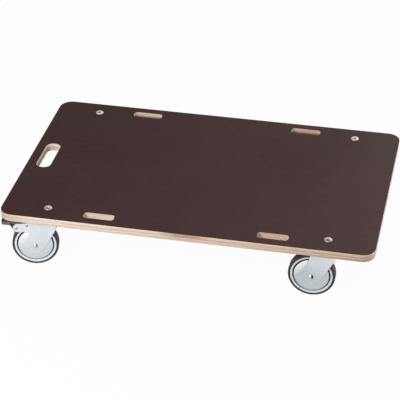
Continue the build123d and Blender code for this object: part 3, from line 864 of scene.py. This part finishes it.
def tyre_rubber(name):
    """Rubber with a dusty tread, fine moulded grain and a parting line at the wheel's middle plane."""
    material, tree, shader = finish(f"{name}_tyre_rubber", Specular_IOR_Level=RUBBER_GLOSS)
    place = about_axle(tree, name)
    look = mottled(tree, place, RUBBER_MOTTLE)
    across = calc(tree, "ABSOLUTE", axes_of(tree, place)[1])
    parting = spread(tree, across, 0.0, PARTING_WIDTH, 1.0, 0.0)
    tread = spread(tree, round_axle(tree, place), TREAD_START, TREAD_FULL)
    dust = product(tree, tread, look["Grain"], DUST_SHARE)
    rubber = tint(tree, look["Clouds"], RUBBER_DARK, RUBBER_LIGHT)
    height = calc(tree, "ADD", product(tree, look["Grain"], GRAIN_HEIGHT), parting)
    feed(
        tree,
        shader,
        Base_Color=tint(tree, dust, rubber, RUBBER_DUST),
        Roughness=level(tree, look["Grain"], *RUBBER_ROUGHNESS),
        Normal=bump(tree, height, RUBBER_BUMP, RUBBER_RELIEF),
    )
    return material


for name in casters:
    dress(tyre_rubber(name), f"{name}_tyre")


# Brakes: a black moulded pedal pressed by foot, and a spring-steel shoe that its cam pushes down.
# The pedal has the fine sparked grain of its mould, paler where feet rub its edges, with a painted band of
# light low on its sides below the deck's shadow.
PEDAL_BLACK = (0.010, 0.0095, 0.0075, 1)
PEDAL_WORN = (0.07, 0.07, 0.063, 1)
PEDAL_LIT_BAND = (0.120, 0.116, 0.102, 1)
PEDAL_MOTTLE = (50.0, 1700.0)
PEDAL_ROUGHNESS = (0.42, 0.58)
PEDAL_EDGE_ROUND = 0.0008
PEDAL_BUMP = 0.3
PEDAL_RELIEF = 0.00006
EDGE_WEAR = (0.3, 0.8)
LIT_BAND_LOW = 0.104
LIT_BAND_HIGH = 0.113
LIT_BAND_FADE = 0.0015
SHOE_BRIGHT = (0.42, 0.43, 0.45, 1)
SHOE_BLUED = (0.21, 0.22, 0.26, 1)
SHOE_MOTTLE = (70.0, 1900.0)
SHOE_ROUGHNESS = (0.26, 0.42)


def pedal_black():
    """Black moulded plastic with a sparked grain, worn edges and a painted band of light low on its sides.
    """
    material, tree, shader = finish("pedal_black")
    place = own_place(tree)
    look = mottled(tree, place, PEDAL_MOTTLE)
    edge = edged(tree, PEDAL_EDGE_ROUND)
    worn = product(tree, edge["Edge"], level(tree, look["Clouds"], *EDGE_WEAR))
    height = axes_of(tree, place)[2]
    # Painted band of light low on the sides, below the deck's shadow.
    above = spread(tree, height, LIT_BAND_LOW, LIT_BAND_LOW + LIT_BAND_FADE)
    below = spread(tree, height, LIT_BAND_HIGH, LIT_BAND_HIGH - LIT_BAND_FADE)
    black = tint(tree, product(tree, above, below), PEDAL_BLACK, PEDAL_LIT_BAND)
    feed(
        tree,
        shader,
        Base_Color=tint(tree, worn, black, PEDAL_WORN),
        Roughness=level(tree, look["Grain"], *PEDAL_ROUGHNESS),
        Normal=bump(tree, look["Grain"], PEDAL_BUMP, PEDAL_RELIEF, edge["Normal"]),
    )
    return material


dress(pedal_black(), *[f"{name}_brake_pedal" for name in brakes])
shoe_steel = speckled(
    "shoe_spring_steel", SHOE_BRIGHT, SHOE_BLUED, SHOE_MOTTLE, SHOE_ROUGHNESS, Metallic=1.0
)
dress(shoe_steel, *[f"{name}_brake_shoe" for name in brakes])


# Studio: a white floor that keeps only a faint shadow, in a white room.
# Both show white to the camera and less so in metal, and the floor lights the object as plain card would.
# A high key lamp stands at the left front, a low one at the right and a dim one behind.
FLOOR_HALF = 12.0
FLOOR_WHITE = (0.86, 0.86, 0.86, 1)
SHADOW_SHARE = 0.03
MIRROR_SHARE = 0.6
SKY_WHITE = (1, 1, 1, 1)
SKY_LEVEL = 0.30
KEY_PLACE = (-0.62, -1.33, 1.0)
KEY_TARGET = (-0.1, -0.1, 0.1)
KEY_WIDTH = 0.6
KEY_POWER = 16.0
SIDE_PLACE = (1.9, 0.55, 0.12)
SIDE_TARGET = (0.4, 0.0, 0.12)
SIDE_WIDTH = 0.22
SIDE_POWER = 12.0
BACK_PLACE = (0.7, 1.3, 1.25)
BACK_TARGET = (0.2, 0.1, 0.13)
BACK_WIDTH = 0.8
BACK_POWER = 6.0


def seen_white(tree):
    """1 for what the camera sees straight, less for what it sees mirrored or through something."""
    rays = add(tree, "LightPath").outputs
    mirrored = calc(tree, "MAXIMUM", rays["Is Glossy Ray"], rays["Is Transmission Ray"])
    return calc(tree, "MAXIMUM", rays["Is Camera Ray"], product(tree, mirrored, MIRROR_SHARE))


def floor_card():
    """Flat square: corners at plus and minus half its width; clear when looked at from below."""
    corner = FLOOR_HALF * np.array([[-1, -1, 0], [1, -1, 0], [1, 1, 0], [-1, 1, 0]])
    mesh = bpy.data.meshes.new("floor_card")
    mesh.from_pydata(corner.tolist(), [], [(0, 1, 2, 3)])
    material = bpy.data.materials.new("white_card")
    material.use_nodes = True
    tree = material.node_tree
    tree.nodes.clear()
    card = add(tree, "BsdfDiffuse", {"Color": FLOOR_WHITE}).outputs[0]
    glow = add(tree, "Emission", {"Strength": 1.0}).outputs[0]
    share = product(tree, seen_white(tree), 1 - SHADOW_SHARE)
    shown = add(tree, "MixShader", {0: share, 1: card, 2: glow}).outputs[0]
    below = add(tree, "NewGeometry").outputs["Backfacing"]
    clear = add(tree, "BsdfTransparent").outputs[0]
    shown = add(tree, "MixShader", {0: below, 1: shown, 2: clear}).outputs[0]
    add(tree, "OutputMaterial", {"Surface": shown})
    mesh.materials.append(material)
    card_object = bpy.data.objects.new("floor_card", mesh)
    bpy.context.scene.collection.objects.link(card_object)
    return card_object


floor_card()

world = bpy.data.worlds.new("white_room")
world.use_nodes = True
bpy.context.scene.world = world
sky = world.node_tree
backdrop = level(sky, seen_white(sky), SKY_LEVEL, 1.0)
sky.links.new(backdrop, sky.nodes["Background"].inputs["Strength"])
sky.nodes["Background"].inputs["Color"].default_value = SKY_WHITE


def softbox(name, place, target, width, power):
    """Square area lamp at a place, turned to face a target."""
    lamp = bpy.data.lights.new(name, "AREA")
    lamp.size = width
    lamp.energy = power
    box = bpy.data.objects.new(name, lamp)
    box.location = place
    box.rotation_euler = (Vector(target) - Vector(place)).to_track_quat("-Z", "Y").to_euler()
    bpy.context.scene.collection.objects.link(box)


softbox("key_softbox", KEY_PLACE, KEY_TARGET, KEY_WIDTH, KEY_POWER)
softbox("side_softbox", SIDE_PLACE, SIDE_TARGET, SIDE_WIDTH, SIDE_POWER)
softbox("back_softbox", BACK_PLACE, BACK_TARGET, BACK_WIDTH, BACK_POWER)


# Camera: it stands as the photograph was taken, with a long lens, above the deck and a little to the right.
# Its values were fitted to the deck's outline, openings and bolts.
CAMERA_AZIMUTH = math.radians(12.295)
CAMERA_ELEVATION = math.radians(32.568)
CAMERA_ROLL = math.radians(-0.339)
CAMERA_DISTANCE = 3.542173
CAMERA_ASIDE = -0.01508
CAMERA_RAISED = -0.06101
FOCAL_PIXELS = 1611.0
FRAME_PIXELS = 400.0
SENSOR_WIDTH = 36.0

camera = bpy.data.cameras.new("photo_camera")
camera.sensor_fit = "HORIZONTAL"
camera.sensor_width = SENSOR_WIDTH
camera.lens = FOCAL_PIXELS / FRAME_PIXELS * SENSOR_WIDTH
around = Matrix.Rotation(CAMERA_AZIMUTH, 3, "Z") @ Matrix.Rotation(math.pi / 2 - CAMERA_ELEVATION, 3, "X")
right, up, back = around.transposed()
deck_middle = Vector((0, 0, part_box("top_film")[1][2]))
stand = deck_middle + back * CAMERA_DISTANCE + right * CAMERA_ASIDE + up * CAMERA_RAISED
rolled = around @ Matrix.Rotation(CAMERA_ROLL, 3, "Z")
photo_camera = bpy.data.objects.new("photo_camera", camera)
photo_camera.matrix_world = Matrix.Translation(stand) @ rolled.to_4x4()
bpy.context.scene.collection.objects.link(photo_camera)
bpy.context.scene.camera = photo_camera
bpy.context.scene.view_settings.view_transform = "Standard"
